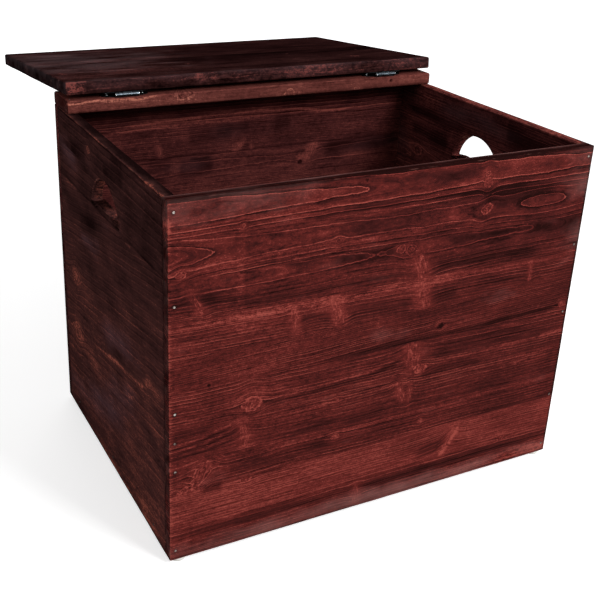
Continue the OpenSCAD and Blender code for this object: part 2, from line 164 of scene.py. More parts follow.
def wood_piece(name, solid, stock, material, heads=None, hole=None, turn=None):
    """A board's object, with its figure kept at every corner of its mesh.
    stock says how the board was cut: for along, across and thickness the axis and its direction, the radius of
    the edges, the axis with square ends, the seed, the staves, the hazes and the strokes. Each quad belongs to
    the stave and to the knot that its middle is nearest to, so the figure jumps at a glue line as on real board."""
    axes, ways, ease, square_axis, seed, staves, film_sheens, strokes = stock
    low, high = solid[0] + FACE_INSET, solid[1] - FACE_INSET
    edges = np.cumsum([0.0] + [stave[0] for stave in staves])
    edges *= (solid[1] - solid[0])[axes[1]] / edges[-1]
    glue = solid[0][axes[1]] + edges[1:-1] if ways[1] > 0 else (solid[1][axes[1]] - edges[1:-1])[::-1]
    pitch = {axes[0]: PITCH_ALONG, axes[1]: PITCH_ACROSS, axes[2]: PITCH_THICK}
    lines = [lines_along(low[a], high[a], 0 if a == square_axis else ease, pitch[a],
                         glue if a == axes[1] else ()) for a in range(3)]
    places, quads, normals, reach = worn_box(lines, ease, square_axis, seed)
    sawn = np.zeros(len(quads), bool)
    if hole:
        places, quads, normals, reach, sawn = hole(places, quads, normals, reach)
    bend = np.cross(places[quads[:, 2]] - places[quads[:, 0]], places[quads[:, 3]] - places[quads[:, 1]])
    inward = np.einsum("ij,ij->i", bend, normals.sum(1)) < 0
    quads[inward], normals[inward] = quads[inward][:, ::-1], normals[inward][:, ::-1]

    corner = places[quads]
    s, t, w = [np.where(way > 0, corner[..., a] - solid[0][a], solid[1][a] - corner[..., a])
               for a, way in zip(axes, ways)]
    middle_t = t.mean(1)
    rings, spacing, tone = np.zeros_like(s), np.ones_like(s), np.zeros_like(s)
    knot = np.full(corner.shape, NO_KNOT)
    across_end = np.abs(normals[..., axes[0]]) > END_FACING
    for count, stave in enumerate(staves):
        here = (middle_t >= edges[count]) & (middle_t <= edges[count + 1])
        ls, lt, lw = s[here], t[here] - edges[count], w[here]
        plain = growth_rings(ls, lt, lw, stave, seed + 11 * count)
        rings[here] = plain + STAVE_RINGS * count
        steps = [growth_rings(ls + a, lt + b, lw + c, stave, seed + 11 * count)
                 for a, b, c in ((2, 0, 0), (0, 2, 0), (0, 0, 2))]
        flat = 1 - np.abs(normals[here][..., list(axes)]) ** 2
        slope = np.sqrt(sum(((step - plain) / 2) ** 2 * flat[..., i] for i, step in enumerate(steps)))
        spacing[here] = 1 / np.clip(slope, 0.02, 1)
        tone[here] = stave[5] + STAVE_TONE * np.sin(2.4 * count + seed)
        held = np.full((len(ls), 4, 3), NO_KNOT)
        for each in stave[6]:
            _, _, along, across, _, _, dark = each
            branch = across > BRANCH * along
            shrink = np.maximum(1 - lw / (BRANCH_DEEP if branch else KNOT_DEEP), 0.05)
            ds, dt = from_knot(ls, lt, lw, each)
            this = np.stack([ds / along / shrink, dt / across / shrink, np.full_like(ds, -1 if branch else dark)], -1)
            nearer = np.hypot(*this.mean(1)[:, :2].T) < np.hypot(*held.mean(1)[:, :2].T)
            held[nearer] = this[nearer]
        knot[here] = held
    # The marks vector: hazes with their painted sheen, strokes, some of them painted light and shade, and the ring
    # spacing.
    stain_and_light = np.zeros(corner.shape)
    stain_and_light[..., 2] = spacing
    marks = [(0, FILM_SHEEN_FADE, *film_sheen) for film_sheen in film_sheens] + [(1, STROKE_FADE, *stroke) for stroke in strokes]
    for kind, share, half_width, amount, path, *deep in marks:
        at, drop = np.array(path, float).T
        fade = share * (at[-1] - at[0]) + 2
        ends = np.clip((s - at[0]) / fade, 0, 1) * np.clip((at[-1] - s) / fade, 0, 1)
        ends = ends * ends * (3 - 2 * ends)
        line = np.exp(-((t - np.interp(s, at, drop) - 0.6 * sway(s, 3, 90)) / half_width) ** 2)
        deep = deep[0] if deep else MARK_DEEP
        inwards = w if deep > 0 else (solid[1] - solid[0])[axes[2]] - w
        stain_and_light[..., kind] += amount * line * ends * np.exp(-inwards / abs(deep))
    nail = np.full(corner.shape, NO_NAIL)
    if heads is not None:
        nearest = heads[np.argmin(np.linalg.norm(corner.mean(1)[:, None] - heads[None], axis=2), axis=1)]
        nail = corner - nearest[:, None]
    wear = np.stack([np.minimum(reach[quads], REACH_KEPT), np.where(sawn[:, None], SAWN_END, across_end),
                     tone + SAWN_TONE * sawn[:, None]], -1)
    stain_and_light[..., 1] += SAWN_STROKE * sawn[:, None]
    grain = np.stack([s, t, w], -1) / 1000
    grain[..., 0] += 0.9 * np.floor(rings.mean(1) / STAVE_RINGS)[:, None]

    if turn is not None:
        places = places @ turn[:3, :3].T + turn[:3, 3]
        normals = normals @ turn[:3, :3].T
    mesh = bpy.data.meshes.new(name)
    mesh.from_pydata((places / 1000).tolist(), [], quads.tolist())
    for label, values in (("grain", grain), ("knot", knot), ("stain_and_light", stain_and_light), ("wear", wear), ("nail", nail)):
        layer = mesh.attributes.new(label, "FLOAT_VECTOR", "CORNER")
        layer.data.foreach_set("vector", values.astype(np.float32).ravel())
    mesh.attributes.new("rings", "FLOAT", "CORNER").data.foreach_set("value", rings.astype(np.float32).ravel())
    mesh.shade_smooth()
    mesh.normals_split_custom_set(normals.reshape(-1, 3).tolist())
    mesh.materials.append(material)
    return in_scene(name, mesh)


def head_places(node, axis, outer):
    """Middles of the nail heads of a solid: its outermost vertices along an axis, parted wherever they leave a
    wide gap along another axis."""
    mesh = frame["nodes"][node].data
    at = np.empty(len(mesh.vertices) * 3, np.float32)
    mesh.vertices.foreach_get("co", at)
    at = at.reshape(-1, 3).astype(float) * 1000
    edge = at[:, axis].max() if outer > 0 else at[:, axis].min()
    groups = [at[np.abs(at[:, axis] - edge) < HEAD_RIM]]
    for other in {0, 1, 2} - {axis}:
        parted = []
        for group in groups:
            group = group[group[:, other].argsort()]
            parted += np.split(group, np.flatnonzero(np.diff(group[:, other]) > HEAD_GAP) + 1)
        groups = parted
    return np.array([(group.min(0) + group.max(0)) / 2 for group in groups])


def solid_box(node):
    """Lowest and highest corner of a solid, in mm."""
    return [np.array(corner) * 1000 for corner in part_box(node)]


class Tone:
    """A value that changes over a surface. Sums and products of such values add shader maths nodes."""

    def __init__(self, tree, socket):
        self.tree, self.socket = tree, socket

    def reckon(self, sign, *terms, held=False):
        node = self.tree.nodes.new("ShaderNodeMath")
        node.operation, node.use_clamp = sign, held
        for place, term in zip(node.inputs, terms):
            if isinstance(term, Tone):
                self.tree.links.new(term.socket, place)
            else:
                place.default_value = term
        return Tone(self.tree, node.outputs[0])

    def __add__(self, other): return self.reckon("ADD", self, other)
    def __sub__(self, other): return self.reckon("SUBTRACT", self, other)
    def __rsub__(self, other): return self.reckon("SUBTRACT", other, self)
    def __mul__(self, other): return self.reckon("MULTIPLY", self, other)
    __radd__, __rmul__ = __add__, __mul__

    def most(self, other): return self.reckon("MAXIMUM", self, other)
    def root(self): return self.reckon("SQRT", self)
    def floor(self): return self.reckon("FLOOR", self)

    def held(self):
        """The value, kept between 0 and 1."""
        return self.reckon("ADD", self, 0.0, held=True)

    def rise(self, start, end, low=0.0, high=1.0):
        """Smooth step from low to high as the value goes from start to end."""
        node = self.tree.nodes.new("ShaderNodeMapRange")
        node.interpolation_type = "SMOOTHSTEP"
        self.tree.links.new(self.socket, node.inputs["Value"])
        for label, value in zip(("From Min", "From Max", "To Min", "To Max"), (start, end, low, high)):
            node.inputs[label].default_value = value
        return Tone(self.tree, node.outputs["Result"])


def spot(*values):
    """A vector socket from up to three values, the first of which changes over the surface."""
    tree = values[0].tree
    node = tree.nodes.new("ShaderNodeCombineXYZ")
    for place, value in zip(node.inputs, values):
        if isinstance(value, Tone):
            tree.links.new(value.socket, place)
        else:
            place.default_value = value
    return node.outputs[0]


def parts_of(tree, socket):
    """The three values of a vector socket."""
    node = tree.nodes.new("ShaderNodeSeparateXYZ")
    tree.links.new(socket, node.inputs[0])
    return [Tone(tree, out) for out in node.outputs]


def own_place(tree):
    """Where a point of the surface lies, in metres, as a vector socket."""
    return tree.nodes.new("ShaderNodeTexCoord").outputs["Object"]


def fleck(place, detail, rough=0.5):
    """Noise about zero, from -0.5 to 0.5, at a place of up to three values. A step of 1 is about one fleck, and
    each detail adds flecks of half the size and of a rough share of the height."""
    tree = place[0].tree
    node = tree.nodes.new("ShaderNodeTexNoise")
    tree.links.new(spot(*place), node.inputs["Vector"])
    for label, value in (("Scale", 1.0), ("Detail", detail), ("Roughness", rough)):
        node.inputs[label].default_value = value
    return Tone(tree, node.outputs[0]) - 0.5


def chance(value, seed):
    """A random value from 0 to 1 for each whole number."""
    node = value.tree.nodes.new("ShaderNodeTexWhiteNoise")
    node.noise_dimensions = "2D"
    value.tree.links.new(spot(value, seed), node.inputs["Vector"])
    return Tone(value.tree, node.outputs["Value"])


def paint(red, green, blue):
    """Linear colour, opaque, of a paint given in display values from 0 to 255."""
    tone = np.array([red, green, blue]) / 255
    return (*np.where(tone < 0.04045, tone / 12.92, ((tone + 0.055) / 1.055) ** 2.4).tolist(), 1)


def shaded(value, shades):
    """Colour of a value: a paint at each stop from 0 to 1, blended evenly between the stops."""
    node = value.tree.nodes.new("ShaderNodeValToRGB")
    ramp = node.color_ramp
    while len(ramp.elements) < len(shades):
        ramp.elements.new(0.5)
    for element, (place, shade) in zip(ramp.elements, shades):
        element.position, element.color = place, paint(*shade)
    value.tree.links.new(value.socket, node.inputs[0])
    return node.outputs["Color"]


def shader_group(name, vectors, numbers, results):
    """An empty node group with its named inputs and outputs, and the sockets of its inputs."""
    tree = bpy.data.node_groups.new(name, "ShaderNodeTree")
    for labels, kind in ((vectors, "NodeSocketVector"), (numbers, "NodeSocketFloat")):
        for label in labels:
            tree.interface.new_socket(label, in_out="INPUT", socket_type=kind)
    for label in results:
        tree.interface.new_socket(label, in_out="OUTPUT", socket_type="NodeSocketFloat")
    return tree, tree.nodes.new("NodeGroupInput").outputs


def put_out(tree, **values):
    """The end of a node group: each value goes to the output of its name."""
    result = tree.nodes.new("NodeGroupOutput")
    for label, value in values.items():
        tree.links.new(value.socket, result.inputs[label])


def placed(tree, group, **values):
    """A node group placed in a material, with values of its own for the inputs that are named."""
    node = tree.nodes.new("ShaderNodeGroup")
    node.node_tree = group
    for label, value in values.items():
        node.inputs[label].default_value = value
    return node


def timber_figure():
    """Node group that turns a board's kept ring count, knots and marks into its look: Figure runs from the
    darkest late wood, 0, to the barest early wood, 1, the second output, the haze, is the bluish film on the varnish
    together with a painted sheen of reflected light, and Bare the wear."""
    tree, given = shader_group("timber_figure", ("Grain", "Knot", "Stain_And_Light", "Wear", "Nail"),
                               ("Rings", "Crisp", "Blotch"), ("Figure", "Haze", "Bare", "Roughness", "Height"))
    s, t, w = parts_of(tree, given["Grain"])
    knot_s, knot_t, knot_dark = parts_of(tree, given["Knot"])
    # The marks: film with its painted sheen, stain strokes with some painted light and shade, and ring spacing.
    film_sheen, stroke, apart = parts_of(tree, given["Stain_And_Light"])
    edge, end, tone = parts_of(tree, given["Wear"])
    ring, crisp, blotch = [Tone(tree, given[label]) for label in ("Rings", "Crisp", "Blotch")]

    # Flecks of the wood: long streaks, lines and fibres that keep to the rings, short pores with stain in them,
    # and clouds, mottle and patches where the stain took unevenly
    streak = fleck((s * 13, ring * 2.6, w * 90), 4, 0.66)
    line = fleck((s * 22, ring * 8.5 + t * 60, w * 200), 2, 0.6)
    fibre = fleck((s * 110, ring * 15 + t * 300, w * 300), 3, 0.6)
    pore = fleck((s * 380, t * 620, w * 620), 2, 0.7)
    cloud = fleck((s * 15, t * 32, w * 15), 3)
    mottle = fleck((s * 125, t * 210, w * 125), 3, 0.6)
    patch = fleck((s * 9 + 4, t * 21, w * 12), 5, 0.62)
    grains = pore.rise(0.06, 0.2) * (0.4 + 3.0 * streak + 1.2 * patch).held()

    # How far a place is from the nearest knot, where 1 is the knot's edge. A branch, kept as -1, lies in the face
    branch = knot_dark.rise(-0.1, -0.9)
    wobble = (1.1 + 0.9 * branch) * fleck((s * 110, t * 140), 4, 0.6)
    far = (knot_s * knot_s + knot_t * knot_t).root() + wobble

    # A ring ends in a thin light line and the next starts dark. Both are a share of the ring's width, and no wider
    # than on real wood where the rings lie far apart. Each ring has a strength of its own, which comes and goes
    # along it and in zones, and is calm over a branch
    count = ring + 0.14 * fleck((s * 160, ring * 3), 2)
    count = count + 0.5 * fleck((count * 0.6, 0.3), 1)
    whole = count.floor()
    part = count - whole
    along = fleck((s * 9, whole * 3.7), 2)
    light = ((1 - part) * 5.5).most((1 - part) * apart * 0.62).rise(1.1, 0.45)
    dark = (part * 2.1).most(part * apart * 0.15).rise(1.0, 0.0)
    zone = fleck((s * 3.2 + 9, t * 17 + ring * 0.35), 2).rise(-0.1, 0.12, 0.45, 1.0).most(apart.rise(4.0, 8.0))
    calm = 1 - 0.75 * branch * far.rise(2.2, 0.9)
    strength = (0.25 + 1.2 * chance(whole, 3.0) * (1 + 2.6 * along)).held() * zone * calm
    rings_tone = (0.54 * light - 0.34 * dark) * strength * (crisp + 0.6 * end)

    # Plain wood is a little darker than the middle of the figure; a stroke breaks up with the flecks under it
    broken = (0.82 + 1.9 * streak + 2.4 * mottle + 2.4 * pore).held()
    figure = (0.435 + tone + stroke * broken + rings_tone + streak * (0.55 + 0.75 * crisp) + line * 0.4 * crisp
              + fibre * 0.22 + pore * 0.34 + grains * 0.42 + mottle * 0.7 + cloud * 0.5 + patch * blotch)

    # A knot is lighter and fibrous, with circles of its own, a broken light rim and a thin shadow round it. A dark
    # one is filled with bark, and a branch is a patch of loose light fibres
    bark = knot_dark.held()
    burr = fleck((knot_s * 3.0 + s * 60, knot_t * 0.9 + t * 40), 3, 0.65)
    core = (far.rise(1.3, 0.6) * (1 - branch) + far.rise(1.5, 0.35) * branch * (0.62 + 3.4 * burr)).held()
    circles = fleck((far * 4.2, ring * 0.2, knot_dark * 3), 2, 0.6) * (1 - branch)
    inside = (0.7 + 0.12 * branch + 1.4 * burr + 1.8 * circles + 1.1 * pore + 0.8 * mottle
              - bark * (0.75 + far.rise(0.6, 0.1) * 0.3))
    rim = far.rise(0.78, 0.94) * far.rise(1.08, 0.96) * (1 - branch)
    shade = far.rise(0.98, 1.1) * far.rise(1.35, 1.14) * (1 - branch)
    figure = (figure + (inside - figure) * core * 0.9 + (0.16 + 1.5 * burr) * rim - (0.1 + 1.1 * burr) * shade
              + 0.1 * far.rise(2.3, 1.1) * (1 - core))

    # Wear lightens the arrises in patches, stain has gathered just beside them and round the nail heads, and end
    # grain drinks more of it
    rub = fleck((s * 26, t * 60, w * 60), 4, 0.65)
    bare = (edge.rise(1.8, 0.2) * (rub * 3.4 - 0.12) + end * (rub * 3.2 - 0.4)).held()
    gather = edge.rise(6.0, 2.0) * edge.rise(0.6, 2.0)
    head_x, head_y, head_z = parts_of(tree, given["Nail"])
    head_far = (head_x * head_x + head_y * head_y + head_z * head_z).root()
    figure = figure - 0.1 * gather - 0.22 * head_far.rise(4.2, 2.2) - (0.5 - 0.4 * rub) * end

    # The film, with a painted sheen of reflected light, is patchy, and end grain and knots are rougher than the
    # varnished face. Fibres and pores stand out
    film_and_sheen = (film_sheen * (0.8 + 3.0 * patch + 1.6 * streak) + 0.9 * cloud * edge.rise(0.0, 9.0) - 0.12
            + end * (0.22 + 0.7 * rub)).held()
    rough = (0.72 + 0.5 * pore + 0.3 * streak + 0.14 * core + 0.12 * end).held()
    ridges = 0.2 * rings_tone + 0.6 * fibre + 0.4 * pore + 0.25 * streak + 0.3 * line
    put_out(tree, Figure=figure.held(), Haze=film_and_sheen, Bare=bare, Roughness=rough,
            Height=ridges + 0.5 * rim + 0.5 * core)
    return tree


timber_group = timber_figure()


def new_material(name):
    """A new material, with its node tree and its shader."""
    material = bpy.data.materials.new(name)
    material.use_nodes = True
    return material, material.node_tree, material.node_tree.nodes["Principled BSDF"]


def relief(shader, height, strength, depth):
    """Unevenness too fine for the mesh, of a depth in metres, on a material."""
    bump = height.tree.nodes.new("ShaderNodeBump")
    bump.inputs["Strength"].default_value, bump.inputs["Distance"].default_value = strength, depth
    height.tree.links.new(height.socket, bump.inputs["Height"])
    height.tree.links.new(bump.outputs["Normal"], shader.inputs["Normal"])


def stained_wood(name, shades, film_and_sheen, bare, crisp, blotch):
    """Stained and thinly varnished softwood. shades are the stain's colours, evenly spaced from the dark to the
    light end of the figure, the film colour that of the haze, which is the varnish film with a painted sheen of
    reflected light, and bare that of the worn wood; crisp says how sharply the rings show and blotch how unevenly
    the stain lies."""
    material, tree, shader = new_material(name)
    shader.inputs["IOR"].default_value = 1.45
    shader.inputs["Specular IOR Level"].default_value = 0.0
    shader.inputs["Coat Roughness"].default_value = 0.4
    group = placed(tree, timber_group, Crisp=crisp, Blotch=blotch)
    for label in ("Grain", "Rings", "Knot", "Stain_And_Light", "Wear", "Nail"):
        kept = tree.nodes.new("ShaderNodeAttribute")
        kept.attribute_name = label.lower()
        tree.links.new(kept.outputs["Fac" if label == "Rings" else "Vector"], group.inputs[label])
    colour = shaded(Tone(tree, group.outputs["Figure"]), list(zip(np.linspace(0, 1, len(shades)), shades)))
    # The haze mixes the film colour in: partly the varnish film, partly a painted sheen of reflected light. The coat
    # adds a real sheen there.
    for mask, cover, share in (("Haze", film_and_sheen, 0.55), ("Bare", bare, 0.8)):
        mix = tree.nodes.new("ShaderNodeMix")
        mix.data_type = "RGBA"
        tree.links.new((Tone(tree, group.outputs[mask]) * share).socket, mix.inputs["Factor"])
        tree.links.new(colour, mix.inputs["A"])
        mix.inputs["B"].default_value = paint(*cover)
        colour = mix.outputs["Result"]
    tree.links.new(colour, shader.inputs["Base Color"])
    tree.links.new(group.outputs["Roughness"], shader.inputs["Roughness"])
    tree.links.new((Tone(tree, group.outputs["Haze"]) * 0.08).socket, shader.inputs["Coat Weight"])
    relief(shader, Tone(tree, group.outputs["Height"]), 0.5, 0.0006)
    return material


front_wood = stained_wood("stained_front", [(33, 14, 13), (61, 25, 24), (86, 33, 30), (110, 44, 40), (150, 70, 61)],
                          (124, 87, 83), (134, 86, 78), 1.0, 0.42)

# Each stave: height in mm, place and depths of its pith, lean in degrees, ring width, tone, and its knots.
# A knot: place along and down the stave, half length, half height, slant, push on the rings, darkness.
front_staves = [
    (50, 18, [(0, 21.3), (267, 26), (632, 30)], 0, 7.43, -0.04,
     [(95, 43, 2.5, 3, 0, 0, 0), (262, 7, 3, 2.5, 0, 0, 0.6), (450, 20, 5, 4, 0, 0, 0),
      (452, 33, 7, 8, 0.1, 0, 0.05)]),
    (51, 20, [(0, 17), (40, 24.4), (200, 27.5), (400, 27.5), (517, 24.4), (561, 22), (605, 24.4), (632, 26)],
     0, 7.0, -0.04,
     [(16, 43, 7, 5, 0, 0, 0), (227, 32, 4, 4, 0, 0, 0.4), (455, 20, 10, 8, -0.4, 0, 0.1)]),
    (54, 8, [(0, 17.5), (151, 20), (300, 23), (370, 20.6), (552, 22.7), (632, 27)], 0, 6.5, -0.05,
     [(37, 34, 7, 16, 0.5, 0, 0), (322, 7, 7, 6, 0, 0, 0), (338, 10, 9, 8, 0, 0, 0.2),
      (356, 36, 12, 24, 0.4, 7, 0)]),
    (48, -70, [(0, 20), (632, 24)], 0.4, 9.5, -0.06,
     [(170, 24, 6, 17, 0.25, 3, 0), (232, 26, 9, 21, 0.35, 4, 0), (363, 22, 11, 25, 0.3, 5, 0),
      (548, 22, 3.5, 14, 0.05, 2, 0)]),
    (47, 160, [(0, 20), (632, 20)], -2.4, 7.5, 0.03,
     [(400, 31, 5.5, 5, 0, 0, 1), (53, 44, 2.5, 2.5, 0, 0, 1), (295, 9, 3, 3, 0, 0, 0),
      (619, 38, 7, 5, 0, 0, 0)]),
    (55, -60, [(0, 20), (632, 20)], 0, 9, -0.06,
     [(113, 38, 14, 11, 0, 0, 0), (356, 18, 12, 23, 0.1, -7, 0), (372, 45, 12, 7, 0, 0, 0)]),
    (48, 110, [(0, 20), (632, 20)], 0, 9, -0.06,
     [(104, 27, 7, 20, 0.2, -6, 0), (342, 22, 6, 16, 0.3, -5, 0), (358, 28, 3.5, 14, 0, -3, 0),
      (240, 8, 3, 3, 0, 0, 0)]),
    (47, -45, [(0, 16), (300, 20), (632, 14)], 0.3, 8.5, 0.02,
     [(44, 22, 12, 18, -0.5, 5, 0.1), (28, 46, 20, 10, 0, 0, 0), (240, 19, 7, 4, 0, 0, 0),
      (382, 30, 4, 4, 0, 0, 0)]),
    (55, 150, [(0, 20), (632, 20)], -0.4, 9.5, 0.14,
     [(107, 2, 9, 5, 0, 0, 0), (436, 34, 8, 22, -0.35, -9, 0), (540, 52, 5, 4, 0, 0, 0)]),
    (45, -30, [(0, 22), (632, 26)], 0, 9, 0.08,
     [(282, 24, 6, 18, 0, 3, 0)]),
]
# Marks on the board, each with half its width in mm, its amount and its line as places along and down. Hazes are
# dull film on the varnish together with a painted sheen of reflected light, and strokes are stain or grain that is
# darker, below 0, or lighter; some strokes are painted light and shade, as marked where they stand. A fourth number
# says how many mm a mark reaches into the board: MARK_DEEP if it isn't given, and from the far side if below 0.
front_film_sheens = [
    (1.8, 2.2, [(-300, 0), (900, 0)], -2.5), (20, 0.7, [(560, 60), (800, 60)]), (22, 0.8, [(570, 130), (800, 132)]),
    (22, 0.55, [(-140, 14), (270, 6)]), (26, 0.7, [(550, 14), (800, 34)]), (12, 0.28, [(250, 230), (390, 230)]),
    (10, 0.34, [(430, 206), (540, 204)]), (13, 0.95, [(-200, 489), (860, 489)])
]
front_strokes = [
    # The two broad strokes on the next line are painted light and shade: the wall lighter towards its left end and
    # darker towards its right end, as under a lamp at the left.
    (400, 0.09, [(-900, 250), (300, 250)], 40), (500, -0.07, [(330, 200), (1700, 200)], 40),
    (9, -0.3, [(400, 45), (580, 56)]), (9, -0.26, [(448, 60), (534, 67)]), (5, -0.24, [(385, 106), (535, 109)]),
    (10, -0.22, [(320, 14), (446, 18)]), (12, -0.2, [(10, 72), (125, 68)]), (12, -0.18, [(220, 70), (345, 72)]),
    (11, -0.2, [(-30, 128), (70, 128)]), (7, -0.3, [(145, 108), (325, 108)]), (5, -0.22, [(80, 146), (340, 144)]),
    (7, -0.28, [(375, 140), (560, 144)]), (9, -0.2, [(20, 130), (110, 136)]), (14, -0.26, [(173, 186), (226, 186)]),
    (9, -0.24, [(243, 190), (352, 190)]), (11, -0.24, [(368, 190), (424, 187)]), (5, 0.2, [(0, 164), (340, 160)]),
    (7, 0.14, [(310, 162), (700, 160)]), (22, -0.08, [(390, 182), (800, 182)]),
    (2.5, -0.32, [(180, 253), (300, 246), (400, 234)]), (6, -0.24, [(0, 306), (70, 305)]),
    (7, -0.22, [(372, 302), (480, 305)]), (15, -0.08, [(-60, 336), (92, 340)]), (7, -0.22, [(165, 346), (330, 348)]),
    (9, -0.2, [(75, 380), (240, 378)]), (6, 0.16, [(0, 88), (420, 84)]), (12, 0.14, [(70, 280), (140, 284)]),
    (5, -0.2, [(260, 473), (700, 472)]), (2.1, -0.85, [(-60, 0), (700, 0)], 300),
    (1.8, 1.6, [(-60, 0), (700, 0)], -2.5), (400, 0.4, [(-3, 250), (4.5, 250)]),
    (400, -0.4, [(627, 250), (640, 250)]), (8, 1.1, [(-60, 31), (7, 31)], 300), (14, 0.3, [(400, 488), (760, 488)]),
    (11, 0.25, [(520, 491), (760, 491)]), (4, -0.3, [(150, 45), (300, 43), (632, 46)]),
    (3, -0.45, [(250, 250), (480, 247), (617, 242), (640, 232)]), (12, -0.28, [(520, 112), (632, 110)]),
    (5, 0.16, [(0, 162), (300, 165), (632, 160)]), (2, -0.3, [(230, 159), (280, 159)]),
    (2, -0.3, [(450, 157), (620, 158)]), (3, -0.38, [(122, 295), (200, 292), (290, 287), (330, 278), (350, 266)]),
    (2.4, 0.3, [(122, 289), (200, 286), (290, 281), (328, 272), (346, 262)]),
    (2.2, 0.28, [(376, 282), (420, 290), (660, 287)]), (2, -0.35, [(380, 258), (410, 265), (560, 265)]),
    (2, -0.35, [(380, 266), (410, 272), (580, 272)]), (2, -0.35, [(378, 274), (410, 279), (560, 279)]),
    (1.3, -0.4, [(-20, 331), (40, 326), (98, 313)]), (1.3, -0.4, [(-20, 338), (50, 334), (102, 321)]),
    (1.3, -0.4, [(-20, 345), (60, 341), (106, 330)]), (1.2, 0.34, [(-20, 334.5), (45, 330), (100, 317)]),
    (1.2, 0.34, [(-20, 341.5), (55, 337.5), (104, 325.5)]), (1.2, 0.3, [(-20, 327), (35, 322), (94, 309)]),
    (6, -0.4, [(42, 401), (74, 402)]), (2, 0.35, [(64, 362), (200, 366), (660, 362)]),
    (2, 0.3, [(110, 318), (330, 312), (660, 314)]), (8, 0.26, [(400, 33), (446, 30)]),
    (7, 0.26, [(390, 78), (446, 70)]), (55, 0.2, [(87, 105), (100, 105)]),
    (1.7, -0.45, [(380, 434), (420, 427), (446, 408)]), (1.7, -0.45, [(378, 440), (416, 435), (440, 418)]),
    (1.7, -0.45, [(376, 446), (412, 443), (434, 429)]), (8, 0.26, [(535, 324), (612, 322)]),
    (20, -0.1, [(520, 328), (800, 330)]), (20, -0.1, [(520, 279), (800, 280)]), (16, -0.08, [(-80, 275), (110, 275)]),
    (14, -0.08, [(190, 377), (330, 377)]), (6, 0.34, [(580, 290), (640, 286)]),
    (4.5, 0.6, [(420, 455), (434, 443), (444, 427), (456, 406)]), (3, -0.25, [(480, 396), (632, 397)]),
    (6, -0.28, [(0, 465), (300, 467), (632, 466)])
]
front_wall = wood_piece("front_wall", solid_box("front_panel"),
                        ((0, 2, 1), (1, -1, 1), WALL_EASE, None, 1, front_staves, front_film_sheens, front_strokes),
                        front_wood, head_places("front_nails", 1, -1))
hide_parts("front_panel")
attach(front_wall, "carcass")

# Back wall. The same board as the front wall, nailed over the other ends of the side walls; its inner face shows
# above the front wall.


def sawn_staves(heights, seed, knotty=0.012):
    """Staves of a plain board, drawn at random: some are cut flat over the pith and some beside it, and knotty is
    about how many knots there are to each 100 square mm."""
    draw = np.random.default_rng(seed)
    staves = []
    for height in heights:
        flat = draw.random() < 0.45
        depths = [(at, draw.uniform(17, 30)) for at in (0, 160, 320, 480, 640)]
        knots = []
        for _ in range(draw.poisson(knotty * 632 * height / 100)):
            across = draw.uniform(2, 8)
            leaning = draw.random() < 0.35
            knots.append((draw.uniform(10, 620), draw.uniform(0.1, 0.9) * height,
                          across * draw.uniform(0.9, 1.5), across * (2.2 if leaning else 1),
                          draw.uniform(-0.5, 0.5) if leaning else 0, draw.uniform(-5, 5) if leaning else 0,
                          max(draw.uniform(-0.6, 0.7), 0)))
        pith = draw.uniform(0.2, 0.8) * height if flat else draw.choice([-1, 2]) * draw.uniform(50, 90)
        staves.append((height, pith, depths, draw.uniform(-0.8, 0.8),
                       draw.uniform(6.2, 8) if flat else draw.uniform(8, 10), draw.uniform(-0.05, 0.05), knots))
    return staves


inside_wood = stained_wood("stained_inside", [(34, 12, 12), (58, 26, 26), (84, 40, 38), (104, 50, 46), (138, 70, 62)],
                           (58, 40, 43), (150, 104, 84), 0.85, 0.75)
back_staves = [
    (50, 70, [(0, 20), (632, 20)], 0.2, 8.5, -0.02, []),
    (50, -110, [(0, 20), (632, 20)], 0.3, 8, -0.02,
     [(160, 37, 4, 13, 0.2, 3, 0.2), (300, 42, 5, 11, -0.8, 2, 0), (322, 45, 3, 6, 0, 0, 0)]),
    (50, 20, [(0, 18), (180, 22), (360, 24), (632, 20)], 0, 7, -0.04,
     [(436, 14, 9, 19, -0.5, 5, 0.1), (417, 32, 5, 4, 0, 0, 1)]),
] + sawn_staves([52, 48, 50, 51, 49, 50, 50], 21)
# Hazes: film on the varnish with a painted sheen of reflected light, as on the front wall.
back_film_sheens = [
    (14, 0.4, [(130, 118), (275, 118)], 300), (14, 0.4, [(440, 115), (700, 110)], 300),
    (16, 0.4, [(200, 66), (420, 62)], 300)
]
back_strokes = [
    (190, 0.55, [(-3, 40), (3, 40)], 300),
    (2.2, 0.6, [(68, 37), (105, 41), (200, 39), (274, 36), (337, 35), (410, 38), (447, 45), (489, 47), (526, 42),
                (540, 47)], 300),
    # The wide dark stroke 18 mm down on the next line is painted shadow of the rail, which overhangs the wall.
    (2.2, 0.5, [(53, 42), (84, 50), (174, 48), (337, 46), (368, 50)], 300), (20, -0.22, [(-60, 18), (700, 18)], 300),
    (11, -0.34, [(137, 114), (184, 114)], 300), (16, -0.4, [(190, 120), (258, 118)], 300),
    (11, -0.38, [(453, 111), (632, 111)], 300), (8, 0.3, [(424, 106), (454, 104)], 300),
    (6, 0.26, [(408, 124), (440, 118)], 300), (7, 0.28, [(284, 94), (312, 88)], 300),
    (9, -0.24, [(255, 62), (322, 60)], 300), (16, -0.2, [(360, 58), (396, 58)], 300),
    (1.6, -0.6, [(210, 105), (232, 107), (250, 106)], 300), (1.8, -0.3, [(0, 100), (632, 100)], 300),
    (17, -0.24, [(205, 70), (292, 68)], 300)
]
back_wall = wood_piece("back_wall", solid_box("back_panel"),
                       ((0, 2, 1), (1, -1, 1), WALL_EASE, None, 2, back_staves, back_film_sheens, back_strokes),
                       inside_wood, head_places("back_nails", 1, 1))
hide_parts("back_panel")
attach(back_wall, "carcass")

# Side walls. Boards between the front and back walls, each with a half-round hand hole sawn through it near the
# top, whose edges are rounded for the hand.

